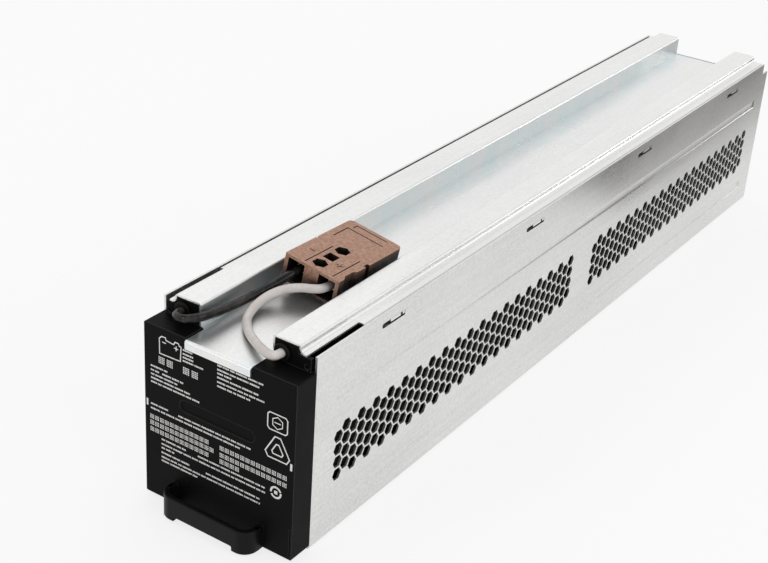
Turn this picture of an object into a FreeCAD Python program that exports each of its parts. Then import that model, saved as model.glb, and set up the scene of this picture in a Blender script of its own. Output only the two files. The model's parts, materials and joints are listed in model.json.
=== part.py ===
"""Battery cartridge of an uninterruptible power supply, in millimetres.

+Z is up and the front, with the handle, faces -Y. The origin is the centre of the tray's underside.
The driving dimensions are in the sheet Sizes. The sheet Places holds what follows from them.
"""
import FreeCAD, Part
import math
import os
import re
import Sketcher

Vector = FreeCAD.Vector

BATTERIES = 8

SIZES = {
    # Tray: a folded sheet channel
    "tray_width": 96.0,
    "tray_length": 570.0,
    "side_height": 112.8,
    "sheet": 1.2,
    "bend_radius": 0.6,
    "rear_step": 7.8,
    "rear_wall_drop": 4.0,
    "groove_from_top": 29.3,
    "groove_from_floor": 17.9,
    "groove_width": 6.0,
    "groove_depth": 0.6,
    "groove_slope": 1.0,
    "groove_end_inset": 17.5,
    "slot_count": 4,
    "slot_length": 20.5,
    "slot_height": 2.8,
    "slot_from_top": 5.5,
    "slot_front_inset": 54.5,
    "slot_rear_inset": 77.5,
    # Hexagonal holes in the right side
    "hole_flats": 6.6,
    "hole_rows": 4,
    "hole_row_pitch": 7.62,
    "hole_column_pitch": 6.6,
    "lowest_hole": 35.05,
    "first_hole_inset": 20.95,
    "patch_margin": 38.0,
    "patch_stagger": 7.8,
    # Latch strips welded to the sides
    "latch_thickness": 1.2,
    "latch_tip_height": 4.0,
    "latch_middle_height": 57.7,
    "latch_root_length": 15.0,
    "latch_tip_out": 0.3,
    # Cover: a folded sheet
    "cover_sheet": 1.0,
    "cover_bend": 0.5,
    "root_bend": 2.4,
    "cover_gap": 0.4,
    "ledge_width": 7.1,
    "rail_rise": 4.2,
    "valley_depth": 13.4,
    "flange_height": 9.4,
    "cover_front_out": 1.5,
    "cover_rear_setback": 9.5,
    "tongue_inset": 2.1,
    "lip_gap": 0.1,
    "lip_drop": 4.9,
    "front_trim_width": 3.55,
    "front_trim_length": 40.8,
    "hook_start": 7.5,
    "hook_length": 9.0,
    "hook_low_gap": 1.2,
    "hook_top_gap": 0.1,
    "prong_start": 18.2,
    "prong_length": 1.8,
    "window_start": 0.3,
    "window_length": 6.6,
    # Front bezel
    "bezel_depth": 15.0,
    "bezel_plate": 2.4,
    "bezel_side": 1.6,
    "bezel_lift": 2.0,
    "bezel_gap": 0.2,
    "bezel_edge": 0.8,
    "shoulder_rise": 0.7,
    "shoulder_thickness": 2.0,
    "tongue_side_gap": 0.5,
    "tower_fit": 0.2,
    "tower_thickness": 2.0,
    "tower_side_gap": 1.4,
    "rib_thickness": 1.5,
    "rib_length": 5.0,
    "dimple_diameter": 3.0,
    "dimple_depth": 0.4,
    "dimple_rise": 2.2,
    "dimple_inset": 5.0,
    "recess_length": 48.1,
    "recess_height": 6.8,
    "recess_depth": 0.6,
    "recess_middle_height": 64.5,
    "recess_offset": -0.75,
    "corner_slit_width": 0.7,
    "corner_slit_inset": 1.1,
    "corner_slit_low": 3.3,
    "corner_slit_length": 16.9,
    "latch_fit": 0.2,
    # Pull handle
    "handle_width": 59.4,
    "handle_reach": 12.0,
    "handle_thickness": 3.2,
    "handle_corner": 8.0,
    "bar_low": 4.0,
    "bar_high": 15.0,
    "leg_low": 1.3,
    "leg_foot_length": 10.7,
    "snap_foot": 1.5,
    "snap_foot_length": 2.8,
    "handle_fit": 0.2,
    # Grommets
    "grommet_wall": 1.0,
    "grommet_flange": 1.35,
    "grommet_flange_thickness": 1.5,
    "grommet_bead": 0.5,
    "grommet_bead_length": 1.0,
    "grommet_fit": 0.1,
    # Row of sealed battery blocks
    "battery_front_inset": 0.5,
    "battery_gap": 0.3,
    "battery_side_gap": 1.8,
    "battery_top_gap": 1.0,
    "battery_corner": 2.0,
    "lid_height": 10.6,
    "neck_height": 0.8,
    "neck_inset": 0.8,
    "tab_thickness": 0.8,
    "tab_width": 6.35,
    "tab_height": 6.0,
    # Wiring inside
    "boot_width": 5.0,
    "boot_length": 9.0,
    "boot_lift": 0.1,
    "boot_headroom": 3.1,
    "boot_fit": 0.1,
    "boot_room": 1.8,
    "jumper_diameter": 4.0,
    "lead_below_boot_top": 3.3,
    "strap_thickness": 0.8,
    "strap_width": 12.0,
    "strap_end": 2.0,
    "lead_diameter": 4.7,
    "lead_room": 2.8,
    "lead_to_boot": 0.4,
    "lead_rest_gap": 0.2,
    # Foam pads
    "rear_foam_room": 6.2,
    "foam_fit": 0.2,
    "foam_headroom": 11.6,
    "front_foam_width": 60.0,
    "front_foam_low": 25.0,
    "rear_foam_width": 70.0,
    "rear_foam_low": 15.0,
    # Connector
    "connector_side_room": 5.2,
    "connector_length": 57.0,
    "connector_height": 15.9,
    "connector_web": 9.2,
    "connector_wall": 2.2,
    "connector_floor": 1.75,
    "connector_corner": 3.0,
    "connector_x": 0.3,
    "connector_y": -201.3,
    "connector_yaw": -0.6,
    "connector_tilt": 9.0,
    "connector_roll": -1.7,
    "connector_seat_gap": 0.05,
    "wire_cavity_depth": 20.0,
    "mating_depth": 16.0,
    "mating_floor": 2.5,
    "key_hole_width": 7.6,
    "key_hole_length": 8.5,
    "key_hole_depth": 9.0,
    "square_hole_side": 6.6,
    "nick_corner": 0.8,
    "top_groove_width": 0.7,
    "top_groove_depth": 0.6,
    "contact_fit": 0.2,
    "barrel_room": 2.05,
    "barrel_start": 6.6,
    "barrel_length": 12.4,
    "blade_room": 1.45,
    "blade_thickness": 2.4,
    "blade_drop": 1.2,
    "blade_setback": 1.5,
    "spring_thickness": 0.5,
    "spring_width": 6.0,
}

PLACES = {
    "tray_side": "tray_width / 2",
    "tray_front": "-tray_length / 2",
    "tray_rear": "tray_length / 2",
    "tray_inner": "tray_side - sheet",
    "rear_height": "side_height - rear_step",
    "groove_spread": "sheet * groove_depth / (groove_slope + sqrt(groove_slope ^ 2 + groove_depth ^ 2))",
    "slot_top": "side_height - slot_from_top",
    "slot_low": "slot_top - slot_height",
    "slot_pitch": "(tray_length - slot_front_inset - slot_rear_inset) / (slot_count - 1)",
    # Cover section, from the outside in and from the top down
    "flange_outer": "tray_inner - cover_gap",
    "flange_bottom": "side_height - flange_height",
    "rail_width": "2 * cover_sheet + lead_room + lead_diameter + lead_to_boot + boot_width + boot_room",
    "rail_outer": "flange_outer - ledge_width",
    "valley_half": "rail_outer - rail_width",
    "rail_top": "side_height + rail_rise",
    "rail_under": "rail_top - cover_sheet",
    "valley_floor": "rail_top - valley_depth",
    "valley_under": "valley_floor - cover_sheet",
    "root_radius": "min(root_bend; rail_rise - cover_sheet - cover_bend - 0.2)",
    "cover_front": "tray_front - cover_front_out",
    "cover_rear": "tray_rear - cover_rear_setback",
    "tongue_half": "valley_half - tongue_inset",
    # Bezel
    "bezel_front": "tray_front - bezel_depth",
    "bezel_rear": "tray_front - bezel_gap",
    "bezel_top": "valley_floor + shoulder_rise",
    "shoulder_under": "bezel_top - shoulder_thickness",
    "shoulder_half": "tongue_half + tongue_side_gap",
    "tower_inner": "valley_half + cover_sheet + tower_fit",
    "tower_outer": "tray_inner - tower_side_gap",
    "tower_rear": "cover_front + tower_thickness",
    "lip_front": "bezel_front - lip_gap - cover_sheet",
    # Batteries
    "battery_half": "tray_inner - battery_side_gap",
    "battery_top": "valley_under - battery_top_gap",
    "battery_front": "tray_front + battery_front_inset",
    "battery_room": "tray_length - battery_front_inset - sheet - rear_foam_room",
    "battery_pitch": "(battery_room + battery_gap) / %d" % BATTERIES,
    "battery_length": "battery_pitch - battery_gap",
    "last_battery": "battery_front + battery_length / 2 + battery_pitch * %d" % (BATTERIES - 1),
    # Terminals and wiring
    "strap_top": "battery_top + strap_thickness",
    "boot_low": "strap_top + boot_lift",
    "boot_top": "rail_under - boot_headroom",
    "lead_height": "boot_top - lead_below_boot_top",
    "lead_radius": "lead_diameter / 2",
    "terminal_x": "rail_outer - cover_sheet - boot_room - boot_width / 2",
    "crossed_x": "terminal_x - boot_width / 2 - lead_to_boot - lead_radius",
    "lead_rest_height": "battery_top + lead_radius + lead_rest_gap",
    "grommet_radius": "lead_radius + grommet_fit + grommet_wall",
    "grommet_front": "cover_front - grommet_flange_thickness",
    # Handle
    "handle_half": "handle_width / 2",
    "handle_front": "bezel_front - handle_reach",
    "snap_front": "bezel_front + bezel_plate + handle_fit",
    "snap_rear": "snap_front + snap_foot_length",
    # Connector, in its own frame: wire end at -Y, mating end at +Y
    "connector_half": "valley_half - connector_side_room",
    "connector_end": "connector_length / 2",
    "connector_lift": "connector_half * sin(connector_tilt * 1 deg) + connector_end * "
                      "cos(connector_tilt * 1 deg) * sin(abs(connector_roll) * 1 deg) + connector_seat_gap",
    "cavity_width": "connector_half - connector_web / 2 - connector_wall",
    "cavity_x": "(connector_web + cavity_width) / 2",
    "contact_height": "connector_height / 2 + 0.05",
    "barrel_radius": "cavity_width / 2 - barrel_room",
    "blade_half": "cavity_width / 2 - blade_room",
    "blade_low": "contact_height - blade_drop - blade_thickness / 2",
}

# Free leads: from the grommet's face, along the photographed curves, to the crimp barrel
NEGATIVE_ROUTE = [
    (-34.0, -288.0, 109.6), (-34.0, -292.4, 109.6), (-31.2, -295.5, 109.7), (-27.0, -295.8, 110.2),
    (-22.8, -293.2, 111.1), (-19.7, -288.2, 111.6), (-18.8, -280.4, 110.8), (-18.4, -268.4, 109.7),
    (-17.7, -256.4, 109.4), (-15.4, -245.2, 110.8), (-11.6, -236.6, 114.0), (-8.6, -230.0, 117.0),
    (-8.35, -223.3, 117.31),
]
POSITIVE_ROUTE = [
    (28.75, -288.0, 109.6), (28.75, -292.7, 109.6), (25.65, -296.1, 109.5), (21.05, -296.0, 109.1),
    (15.2, -290.6, 108.3), (8.0, -284.2, 107.4), (0.0, -277.8, 106.8), (-7.8, -269.4, 106.8),
    (-11.4, -259.4, 108.0), (-10.9, -249.4, 110.3), (-6.6, -241.0, 112.5), (0.2, -236.0, 113.8),
    (6.4, -233.8, 114.2), (10.9, -230.3, 114.4), (11.2, -223.5, 114.21),
]


def full_names(formula, own_sheet=""):
    """The formula with each size or place written with its sheet's name."""
    def full_name(match):
        word = match.group()
        for sheet_name, rows in (("Sizes", SIZES), ("Places", PLACES)):
            if word in rows:
                return word if sheet_name == own_sheet else sheet_name + "." + word
        return word
    return re.sub(r"[a-z][a-z_]*", full_name, formula)


def make_sheet(name, rows):
    sheet = doc.addObject("Spreadsheet::Sheet", name)
    for row, (alias, content) in enumerate(rows.items(), 1):
        sheet.set("A%d" % row, alias)
        sheet.setAlias("B%d" % row, alias)
        text = str(content) if name == "Sizes" else "=" + full_names(content, name)
        sheet.set("B%d" % row, text)
    return sheet


def value(alias):
    return (sizes if alias in SIZES else places).get(alias)


def bind(item, formulas):
    for path, formula in formulas.items():
        item.setExpression(path, full_names(formula))
    return item


def block(name, x, y, z):
    """A box between two formulas along each axis."""
    item = doc.addObject("Part::Box", name)
    return bind(item, {
        "Placement.Base.x": x[0], "Placement.Base.y": y[0], "Placement.Base.z": z[0],
        "Length": "(%s) - (%s)" % (x[1], x[0]),
        "Width": "(%s) - (%s)" % (y[1], y[0]),
        "Height": "(%s) - (%s)" % (z[1], z[0]),
    })


def rod(name, axis, start, radius, length):
    """A cylinder from the start point towards +X, +Y or +Z."""
    item = doc.addObject("Part::Cylinder", name)
    turns = {"X": (Vector(0, 1, 0), 90), "Y": (Vector(1, 0, 0), -90), "Z": (Vector(0, 0, 1), 0)}
    item.Placement = FreeCAD.Placement(Vector(), FreeCAD.Rotation(*turns[axis]))
    return bind(item, {
        "Placement.Base.x": start[0], "Placement.Base.y": start[1], "Placement.Base.z": start[2],
        "Radius": radius, "Height": length,
    })


def fused(name, items):
    item = doc.addObject("Part::MultiFuse", name)
    item.Shapes = items
    return item


def cut(name, base, cutters):
    item = doc.addObject("Part::Cut", name)
    item.Base = base
    item.Tool = cutters[0] if len(cutters) == 1 else fused(name + "_cutters", cutters)
    return item


def group(name, items):
    item = doc.addObject("Part::Compound", name)
    item.Links = items
    return item


def fixed(name, shape):
    item = doc.addObject("Part::Feature", name)
    item.Shape = shape
    item.Placement = FreeCAD.Placement()
    return item


def new_body(name):
    return doc.addObject("PartDesign::Body", name)


def profile(body, kind, name, plane, points, start, length):
    """A Pad or Pocket of an outline, from start to start + length along the plane's positive axis."""
    sketch = body.newObject("Sketcher::SketchObject", name + "_sketch")
    origin_plane = [item for item in body.Origin.OriginFeatures if item.Role == plane + "_Plane"][0]
    sketch.AttachmentSupport = [(origin_plane, "")]
    sketch.MapMode = "FlatFace"
    count = len(points)
    ring = [Vector(math.cos(2 * math.pi * i / count), math.sin(2 * math.pi * i / count), 0)
            for i in range(count)]
    sketch.addGeometry([Part.LineSegment(ring[i], ring[(i + 1) % count]) for i in range(count)], False)
    sketch.addConstraint([Sketcher.Constraint("Coincident", i, 2, (i + 1) % count, 1)
                          for i in range(count)])
    for i, (along, across) in enumerate(points):
        for kind_of_distance, formula, first in (("DistanceX", along, ring[i].x),
                                                 ("DistanceY", across, ring[i].y)):
            number = sketch.addConstraint(Sketcher.Constraint(kind_of_distance, -1, 1, i, 1, first))
            bind(sketch, {"Constraints[%d]" % number: formula})
    faces_back = plane == "XZ"
    bind(sketch, {".AttachmentOffset.Base.z": ("-(%s)" if faces_back else "%s") % start})
    feature = body.newObject("PartDesign::" + kind, name)
    feature.Profile = sketch
    feature.Reversed = faces_back == (kind == "Pad")
    bind(feature, {"Length": length})
    return sketch


def round_corners(body, sketch, corners, radius, kind="Fillet"):
    """Rounds or chamfers the edges that stand on the given corners of a sketch."""
    doc.recompute()
    tip = body.Tip
    plane = sketch.Placement
    axis = plane.Rotation.multVec(Vector(0, 0, 1))
    spots = [plane.multVec(sketch.getPoint(corner, 1)) for corner in corners]
    names = []
    for number, edge in enumerate(tip.Shape.Edges, 1):
        curve = edge.Curve
        if curve.TypeId != "Part::GeomLine" or abs(curve.Direction.dot(axis)) < 0.999:
            continue
        if any(spot.distanceToLine(curve.Location, curve.Direction) < 1e-4 for spot in spots):
            names.append("Edge%d" % number)
    feature = body.newObject("PartDesign::" + kind, "%s_%d" % (sketch.Name, len(body.Group)))
    feature.Base = (tip, names)
    bind(feature, {"Radius" if kind == "Fillet" else "Size": radius})


def rectangle(x, y):
    return [(x[0], y[0]), (x[1], y[0]), (x[1], y[1]), (x[0], y[1])]


def mirrored(points):
    return [("-(%s)" % x, y) for x, y in reversed(points)]


def cord(name, points, diameter):
    """A tube along straight runs that tangent arcs join, each arc as large as its runs allow."""
    spots = [Vector(*point) for point in points]
    edges = []
    radii = []
    here = spots[0]
    for before, corner, after in zip(spots, spots[1:], spots[2:]):
        back = before - corner
        ahead = after - corner
        reach = 0.45 * min(back.Length, ahead.Length)
        half_turn = (math.pi - back.getAngle(ahead)) / 2
        radius = reach / math.tan(half_turn)
        radii.append(round(radius, 1))
        back.normalize()
        ahead.normalize()
        start = corner + back * reach
        end = corner + ahead * reach
        inward = (back + ahead).normalize()
        middle = corner + inward * (radius / math.cos(half_turn) - radius)
        edges.append(Part.LineSegment(here, start).toShape())
        edges.append(Part.Arc(start, middle, end).toShape())
        here = end
    edges.append(Part.LineSegment(here, spots[-1]).toShape())
    path = Part.Wire(edges)
    ring = Part.Circle(spots[0], spots[1] - spots[0], diameter / 2)
    tube = path.makePipeShell([Part.Wire(ring.toShape())], True, False)
    plain_volume = math.pi * diameter ** 2 / 4 * path.Length
    print(name, "length %.1f" % path.Length, "volume ratio %.4f" % (tube.Volume / plain_volume),
          "radii", radii)
    return fixed(name, tube)


def folded_sheet():
    """The channel with its rear wall."""
    body = new_body("folded_sheet")
    section = [("tray_side", "0"), ("tray_side", "side_height"), ("tray_inner", "side_height"),
               ("tray_inner", "sheet")]
    section = section + mirrored(section)
    sketch = profile(body, "Pad", "channel", "XZ", section, "tray_front", "tray_length")
    round_corners(body, sketch, (0, 7), "bend_radius + sheet")
    round_corners(body, sketch, (3, 4), "bend_radius")
    wall = rectangle(("-tray_inner", "tray_inner"), ("sheet / 2", "rear_height - rear_wall_drop"))
    profile(body, "Pad", "rear_wall", "XZ", wall, "tray_rear - sheet", "sheet")
    return body


def pressed(side, name, height, near, far, spread):
    """A bead's block between two depths under a side's outer face, with sloped walls and ends."""
    item = doc.addObject("Part::Wedge", name)
    item.Placement = FreeCAD.Placement(Vector(), FreeCAD.Rotation(Vector(0, 0, 1), 90 * side))
    start, end = "(tray_front + groove_end_inset)", "(tray_rear - groove_end_inset)"
    if side < 0:
        start, end = "-" + end, "-" + start
    formulas = {"Placement.Base.x": "%d * tray_side" % side, "Ymin": near, "Ymax": far}
    for level, grow in (("", spread + " + groove_slope"), ("2", spread + " - groove_slope")):
        formulas["X%smin" % level] = "%s - (%s)" % (start, grow)
        formulas["X%smax" % level] = "%s + (%s)" % (end, grow)
        formulas["Z%smin" % level] = "%s - groove_width / 2 - (%s)" % (height, grow)
        formulas["Z%smax" % level] = "%s + groove_width / 2 + (%s)" % (height, grow)
    return bind(item, formulas)


def groove(side, name, height):
    """A bead inside the sheet and the cutter of the groove outside it."""
    bead = pressed(side, name + "_bead", height, "sheet - groove_depth", "sheet + groove_depth",
                   "groove_spread")
    return bead, pressed(side, name, height, "-groove_depth", "groove_depth", "0")


def slot_start(number):
    return "(tray_front + slot_front_inset + slot_pitch * %d)" % number


def hook_slot(number):
    """A slot through both sides, rounded at its front end."""
    start = slot_start(number)
    through = "tray_width + 2"
    straight = block("slot_%d" % number, ("-tray_side - 1", "tray_side + 1"),
                     (start + " + slot_height / 2", start + " + slot_length"), ("slot_low", "slot_top"))
    front = rod("slot_front_%d" % number, "X",
                ("-tray_side - 1", start + " + slot_height / 2", "slot_low + slot_height / 2"),
                "slot_height / 2", through)
    return [straight, front]


def hexagon_holes():
    """Prisms for two patches of holes, with flats at top and bottom, in staggered columns."""
    flats = value("hole_flats")
    corner = flats / math.sqrt(3)
    start_x = value("tray_inner") - value("groove_depth")
    columns = int((value("tray_length") / 2 - value("patch_margin")) / value("hole_column_pitch")) + 1
    prisms = []
    for patch in range(2):
        patch_start = value("tray_front") + value("first_hole_inset")
        patch_start += patch * (value("tray_length") / 2 - value("patch_stagger"))
        for column in range(columns):
            y = patch_start + column * value("hole_column_pitch")
            for row in range(int(value("hole_rows"))):
                z = value("lowest_hole") + (row + 0.5 * (column % 2)) * value("hole_row_pitch")
                spots = [Vector(start_x, y + corner * math.cos(math.radians(60 * k)),
                                z + corner * math.sin(math.radians(60 * k))) for k in range(7)]
                face = Part.Face(Part.makePolygon(spots))
                prisms.append(face.extrude(Vector(value("sheet") + 2 * value("groove_depth"), 0, 0)))
    return fixed("hexagon_holes", Part.makeCompound(prisms))


def make_tray():
    beads = []
    cutters = []
    for side, side_name in ((-1, "left"), (1, "right")):
        for level, height in (("low", "groove_from_floor"), ("high", "(side_height - groove_from_top)")):
            bead, cutter = groove(side, "%s_%s_groove" % (side_name, level), height)
            beads.append(bead)
            cutters.append(cutter)
    for number in range(int(value("slot_count"))):
        cutters += hook_slot(number)
    cutters.append(block("side_step", ("-tray_side - 1", "tray_side + 1"), ("cover_rear", "tray_rear + 1"),
                         ("rear_height", "side_height + 1")))
    beaded = fused("beaded_sheet", [folded_sheet()] + beads)
    slotted = cut("slotted_sheet", beaded, cutters)
    return [cut("tray", slotted, [hexagon_holes()])]


def make_latch_strips():
    strips = []
    for name, x in (("left", ("-tray_inner", "-tray_inner + latch_thickness")),
                    ("right", ("tray_inner - latch_thickness", "tray_inner"))):
        strips.append(block(name + "_latch_strip", x,
                            ("bezel_front - latch_tip_out", "tray_front + latch_root_length"),
                            ("latch_middle_height - latch_tip_height / 2",
                             "latch_middle_height + latch_tip_height / 2")))
    return [group("latch_strips", strips)]


def cover_fold():
    """The cover's section along its whole length, with the tongue and its lip in front."""
    upper = [("valley_half", "valley_floor"), ("valley_half", "rail_top"), ("rail_outer", "rail_top"),
             ("rail_outer", "side_height"), ("flange_outer", "side_height"),
             ("flange_outer", "flange_bottom")]
    lower = [("flange_outer - cover_sheet", "flange_bottom"),
             ("flange_outer - cover_sheet", "side_height - cover_sheet"),
             ("rail_outer - cover_sheet", "side_height - cover_sheet"),
             ("rail_outer - cover_sheet", "rail_under"), ("valley_half + cover_sheet", "rail_under"),
             ("valley_half + cover_sheet", "valley_under")]
    half = upper + lower
    last = 2 * len(half) - 1
    body = new_body("cover_fold")
    sketch = profile(body, "Pad", "section", "XZ", half + mirrored(half), "cover_front",
                     "cover_rear - cover_front")
    bends = (("cover_bend", (0, 7, 9, 10)), ("cover_bend + cover_sheet", (1, 2, 4, 11)),
             ("root_radius", (3,)), ("root_radius + cover_sheet", (8,)))
    for radius, corners in bends:
        both = [corner for corner in corners] + [last - corner for corner in corners]
        round_corners(body, sketch, both, radius)
    lip = [("cover_front", "valley_floor"), ("lip_front", "valley_floor"),
           ("lip_front", "valley_floor - lip_drop"), ("lip_front + cover_sheet", "valley_floor - lip_drop"),
           ("lip_front + cover_sheet", "valley_under"), ("cover_front", "valley_under")]
    sketch = profile(body, "Pad", "tongue", "YZ", lip, "-tongue_half", "2 * tongue_half")
    round_corners(body, sketch, (1,), "cover_bend + cover_sheet")
    round_corners(body, sketch, (4,), "cover_bend")
    return body


def make_top_cover():
    parts = [cover_fold()]
    windows = []
    for side, side_name in ((-1, "left"), (1, "right")):
        def across(low, high):
            return (low, high) if side > 0 else ("-(%s)" % high, "-(%s)" % low)
        parts.append(block(side_name + "_rail_end", across("valley_half + cover_sheet / 2",
                                                          "rail_outer - cover_sheet / 2"),
                           ("cover_rear - cover_sheet", "cover_rear"),
                           ("valley_under", "rail_under + cover_sheet / 2")))
        windows.append(block(side_name + "_front_trim",
                             across("flange_outer - front_trim_width", "flange_outer + 1"),
                             ("cover_front - 1", "tray_front + front_trim_length"),
                             ("flange_bottom - 1", "side_height + 1")))
        for number in range(int(value("slot_count"))):
            start = slot_start(number)
            name = "%s_hook_%d" % (side_name, number)
            for part_name, offset, length in (("", "hook_start", "hook_length"),
                                              ("_prong", "prong_start", "prong_length")):
                parts.append(block(name + part_name, across("flange_outer - cover_sheet / 2", "tray_side"),
                                   ("%s + %s" % (start, offset), "%s + %s + %s" % (start, offset, length)),
                                   ("slot_low + hook_low_gap", "slot_top - hook_top_gap")))
            opening = across("flange_outer - 2 * cover_sheet", "tray_side")
            windows.append(block(name + "_window", opening,
                                 (start + " + window_start", start + " + window_start + window_length"),
                                 ("slot_low", "slot_top")))
            windows.append(block(name + "_low_window", opening,
                                 (start + " + window_start", start + " + slot_length - window_start"),
                                 ("slot_low", "slot_low + hook_low_gap")))
    return [cut("top_cover", fused("cover_with_hooks", parts), windows)]


def bezel_shell():
    """Face plate, rim and shoulders, hollow from behind, with the tower plates on top."""
    body = new_body("bezel_shell")
    outline = [("tray_side", "bezel_lift"), ("tray_side", "bezel_top"), ("shoulder_half", "bezel_top"),
               ("shoulder_half", "valley_under - tower_fit")]
    face = outline + mirrored(outline)
    sketch = profile(body, "Pad", "face", "XZ", face, "bezel_front", "bezel_depth - bezel_gap")
    round_corners(body, sketch, (0, 1, 6, 7), "bezel_edge")
    hollow = [("tray_side - bezel_side", "bezel_lift + bezel_side"),
              ("tray_side - bezel_side", "shoulder_under"), ("shoulder_half", "shoulder_under"),
              ("shoulder_half", "bezel_top + 1")]
    profile(body, "Pocket", "hollow", "XZ", hollow + mirrored(hollow), "bezel_front + bezel_plate",
            "bezel_depth")
    for name, side in (("left", "-1"), ("right", "1")):
        tower = [("tower_inner", "shoulder_under"), ("tower_outer", "shoulder_under"),
                 ("tower_outer", "side_height - cover_sheet - tower_fit"),
                 ("rail_outer - cover_sheet - tower_fit", "side_height - cover_sheet - tower_fit"),
                 ("rail_outer - cover_sheet - tower_fit", "rail_under - tower_fit"),
                 ("tower_inner", "rail_under - tower_fit")]
        tower = [("%s * (%s)" % (side, x), z) for x, z in tower]
        profile(body, "Pad", name + "_tower", "XZ", tower, "cover_front", "tower_thickness")
    return body


def make_front_bezel():
    ribs = []
    cutters = [
        block("pan_notch", ("-tower_inner", "tower_inner"), ("cover_front - tower_fit", "tray_front"),
              ("shoulder_under - 0.5", "bezel_top + 1")),
    ]
    recess_side = "(recess_length - recess_height) / 2"
    recess_y = ("bezel_front - 1", "bezel_front + recess_depth")
    cutters.append(block("recess", ("recess_offset - " + recess_side, "recess_offset + " + recess_side),
                         recess_y, ("recess_middle_height - recess_height / 2",
                                    "recess_middle_height + recess_height / 2")))
    for side, name in ((-1, "left"), (1, "right")):
        def across(low, high):
            return (low, high) if side > 0 else ("-(%s)" % high, "-(%s)" % low)
        cutters.append(rod(name + "_recess_end", "Y",
                           ("recess_offset + %d * %s" % (side, recess_side), recess_y[0],
                            "recess_middle_height"), "recess_height / 2", "1 + recess_depth"))
        rib_z = ("shoulder_under", "rail_under - 2 * tower_fit")
        rib_y = ("cover_front + tower_thickness / 2", "tower_rear + rib_length")
        ribs.append(block(name + "_inner_rib", across("tower_inner", "tower_inner + 0.8 * rib_thickness"),
                          rib_y, rib_z))
        rail_inside = "rail_outer - cover_sheet - tower_fit"
        ribs.append(block(name + "_outer_rib", across(rail_inside + " - rib_thickness", rail_inside), rib_y,
                          ("shoulder_under", "rail_under - cover_sheet - 2 * tower_fit")))
        lead_x = "crossed_x" if side > 0 else "-terminal_x"
        cutters.append(rod(name + "_grommet_hole", "Y", (lead_x, "cover_front - 1", "lead_height"),
                           "grommet_radius + grommet_fit", "tower_thickness + 2"))
        cutters.append(rod(name + "_bead_room", "Y", (lead_x, "tower_rear", "lead_height"),
                           "grommet_radius + grommet_bead + grommet_fit", "rib_length + 1"))
        cutters.append(rod(name + "_dimple", "Y",
                           ("%d * (tray_side - dimple_inset)" % side, "cover_front - 1",
                            "bezel_top + dimple_rise"), "dimple_diameter / 2", "1 + dimple_depth"))
        cutters.append(block(name + "_corner_slit",
                             across("tray_side - corner_slit_inset - corner_slit_width",
                                    "tray_side - corner_slit_inset"),
                             ("bezel_front - 1", "bezel_front + bezel_plate"),
                             ("corner_slit_low", "corner_slit_low + corner_slit_length")))
        cutters.append(block(name + "_latch_slot",
                             across("tray_inner - latch_thickness - latch_fit", "tray_inner + latch_fit"),
                             ("bezel_front - 1", "bezel_rear + 1"),
                             ("latch_middle_height - latch_tip_height / 2 - latch_fit",
                              "latch_middle_height + latch_tip_height / 2 + latch_fit")))
        cutters.append(block(name + "_leg_slot",
                             across("handle_half - handle_thickness - handle_fit",
                                    "handle_half + handle_fit"),
                             ("bezel_front - 1", "snap_rear + handle_fit"),
                             ("0", "bar_high + handle_fit")))
    return [cut("front_bezel", fused("bezel_with_ribs", [bezel_shell()] + ribs), cutters)]


def make_pull_handle():
    """A loop with legs that pass through the bezel's plate and snap behind it."""
    body = new_body("handle_loop")
    outer = [("handle_half", "snap_rear"), ("handle_half", "handle_front")]
    inner = [("handle_half - handle_thickness", "handle_front + handle_thickness"),
             ("handle_half - handle_thickness", "snap_rear")]
    plan = outer + mirrored(outer) + mirrored(inner) + inner
    sketch = profile(body, "Pad", "loop", "XY", plan, "leg_low", "bar_high - leg_low")
    round_corners(body, sketch, (1, 2), "handle_corner")
    round_corners(body, sketch, (5, 6), "handle_corner - handle_thickness")
    trim = block("bar_trim", ("-handle_half + leg_foot_length", "handle_half - leg_foot_length"),
                 ("handle_front - 1", "bezel_front"), ("0", "bar_low"))
    feet = []
    for name, side in (("left", -1), ("right", 1)):
        foot = ("handle_half - handle_thickness - snap_foot", "handle_half - handle_thickness / 2")
        if side < 0:
            foot = ("-(%s)" % foot[1], "-(%s)" % foot[0])
        feet.append(block(name + "_snap_foot", foot, ("snap_front", "snap_rear"),
                          ("bar_low", "bar_high - handle_thickness")))
    return [fused("pull_handle", [cut("trimmed_loop", body, [trim])] + feet)]


def make_grommet(name, x):
    """A rubber ring with its flange in front of the tower and a bead behind it."""
    span = "tower_rear - grommet_front + grommet_fit + grommet_bead_length"
    solid = fused(name + "_solid", [
        rod(name + "_body", "Y", (x, "grommet_front", "lead_height"), "grommet_radius", span),
        rod(name + "_flange", "Y", (x, "grommet_front", "lead_height"), "grommet_radius + grommet_flange",
            "grommet_flange_thickness"),
        rod(name + "_bead", "Y", (x, "tower_rear + grommet_fit", "lead_height"),
            "grommet_radius + grommet_bead", "grommet_bead_length"),
    ])
    bore = rod(name + "_bore", "Y", (x, "grommet_front - 1", "lead_height"), "lead_radius + grommet_fit",
               span + " + 2")
    return cut(name, solid, [bore])


def battery_middle(number):
    """The formula of a battery's middle along Y, counted from 0 at the front."""
    return "(battery_front + battery_length / 2 + battery_pitch * %d)" % number


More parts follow.
